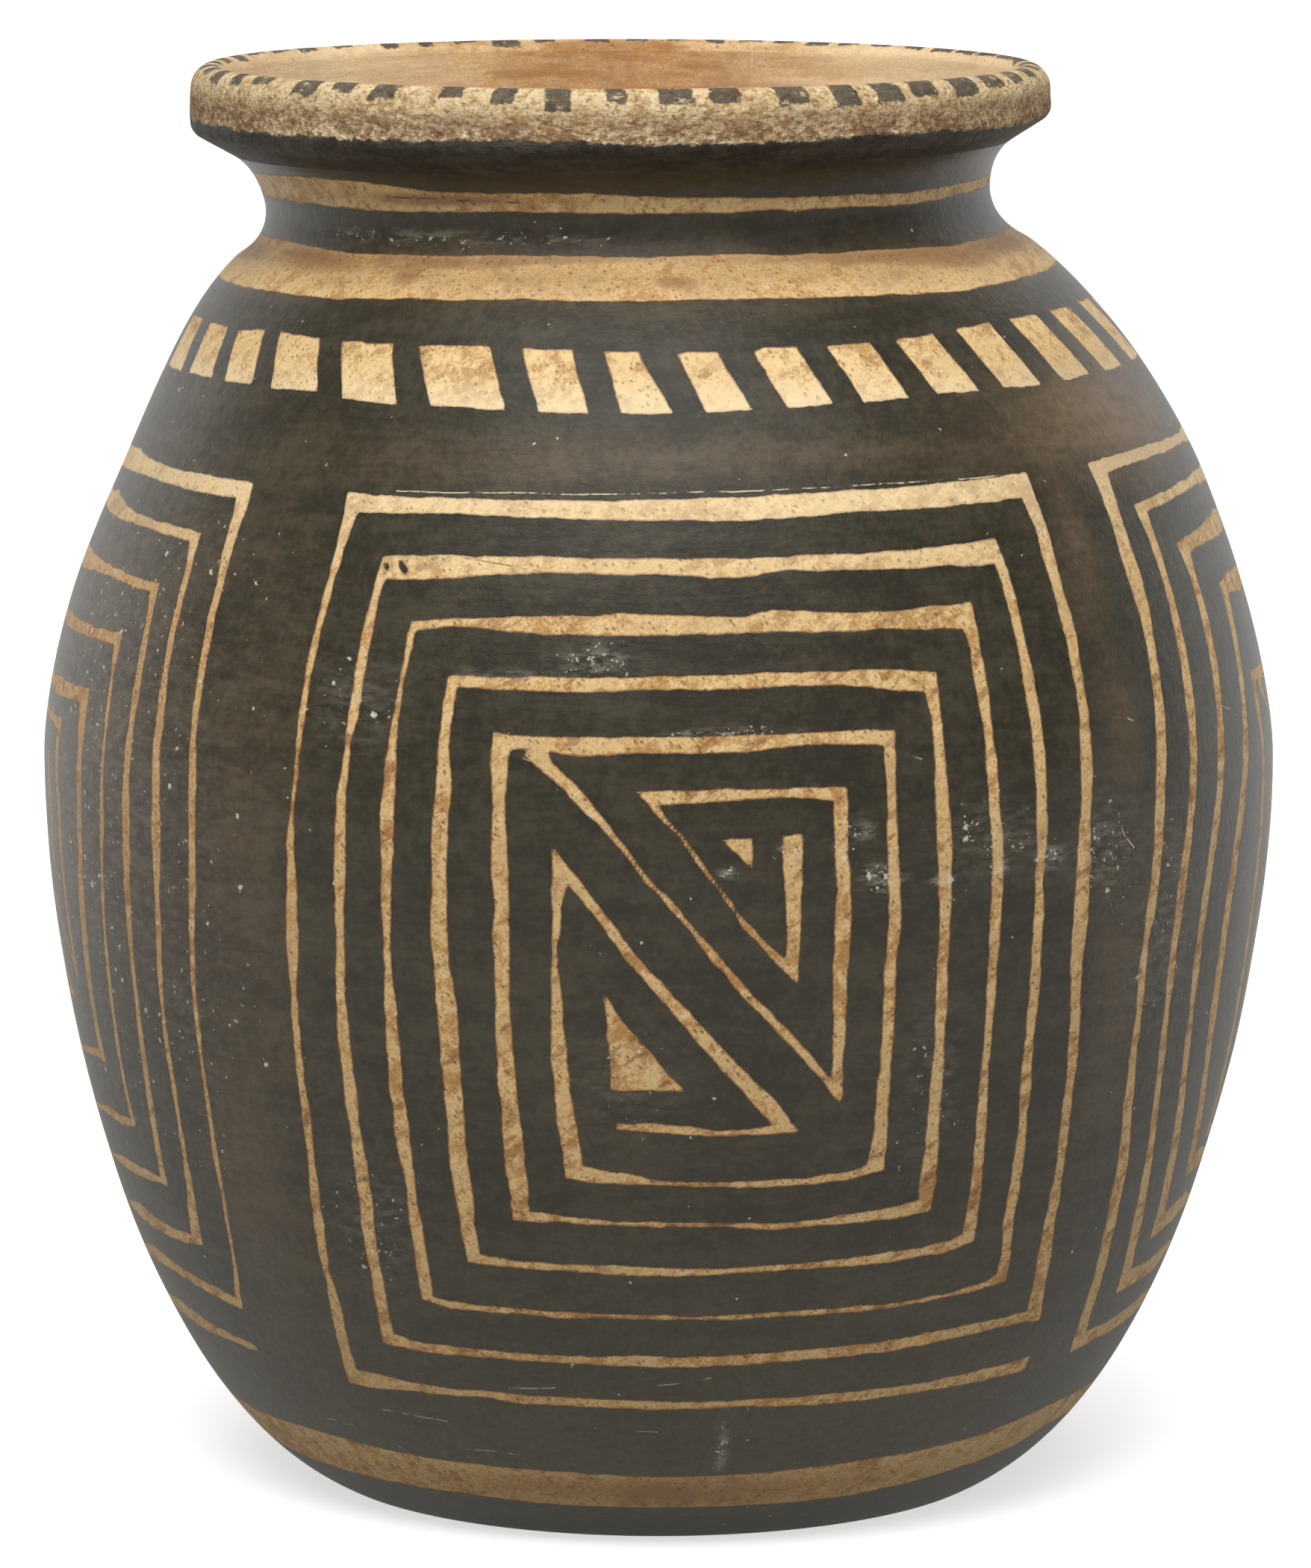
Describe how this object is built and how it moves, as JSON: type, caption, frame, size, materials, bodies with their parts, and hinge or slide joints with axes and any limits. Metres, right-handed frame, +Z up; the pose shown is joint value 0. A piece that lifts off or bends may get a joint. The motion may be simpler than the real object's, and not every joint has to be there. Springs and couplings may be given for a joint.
{
  "type": "pueblo pot",
  "caption": "Hand-built clay jar with a round belly, a creased neck and a thick out-turned lip, open at the top to hold grain, water or small goods.",
  "frame": {"origin": "centre of the flat foot, on the surface that the pot stands on", "axes": "+Z up through the body; the camera of the picture looks along +Y, with +X to its right; the neck leans towards -X"},
  "size_m": [0.228, 0.228, 0.262],
  "materials": {
    "dark_paint": "matte brown-black mineral paint over buff slip, lightly polished",
    "buff_slip": "matte buff slip, stained and pitted",
    "worn_lip": "rough worn buff slip with brown stains"
  },
  "bodies": {
    "root": {"base_disc": "dark_paint", "wall_coil_01": "dark_paint", "wall_coil_02": "dark_paint", "wall_coil_03": "dark_paint", "wall_coil_04": "dark_paint", "wall_coil_05": "dark_paint", "wall_coil_06": "dark_paint", "wall_coil_07": "dark_paint", "wall_coil_08": "dark_paint", "wall_coil_09": "dark_paint", "wall_coil_10": "dark_paint", "wall_coil_11": "dark_paint", "wall_coil_12": "buff_slip", "neck_coil": "dark_paint", "rim_coil": "dark_paint", "lip_coil": "worn_lip"}
  },
  "joints": []
}
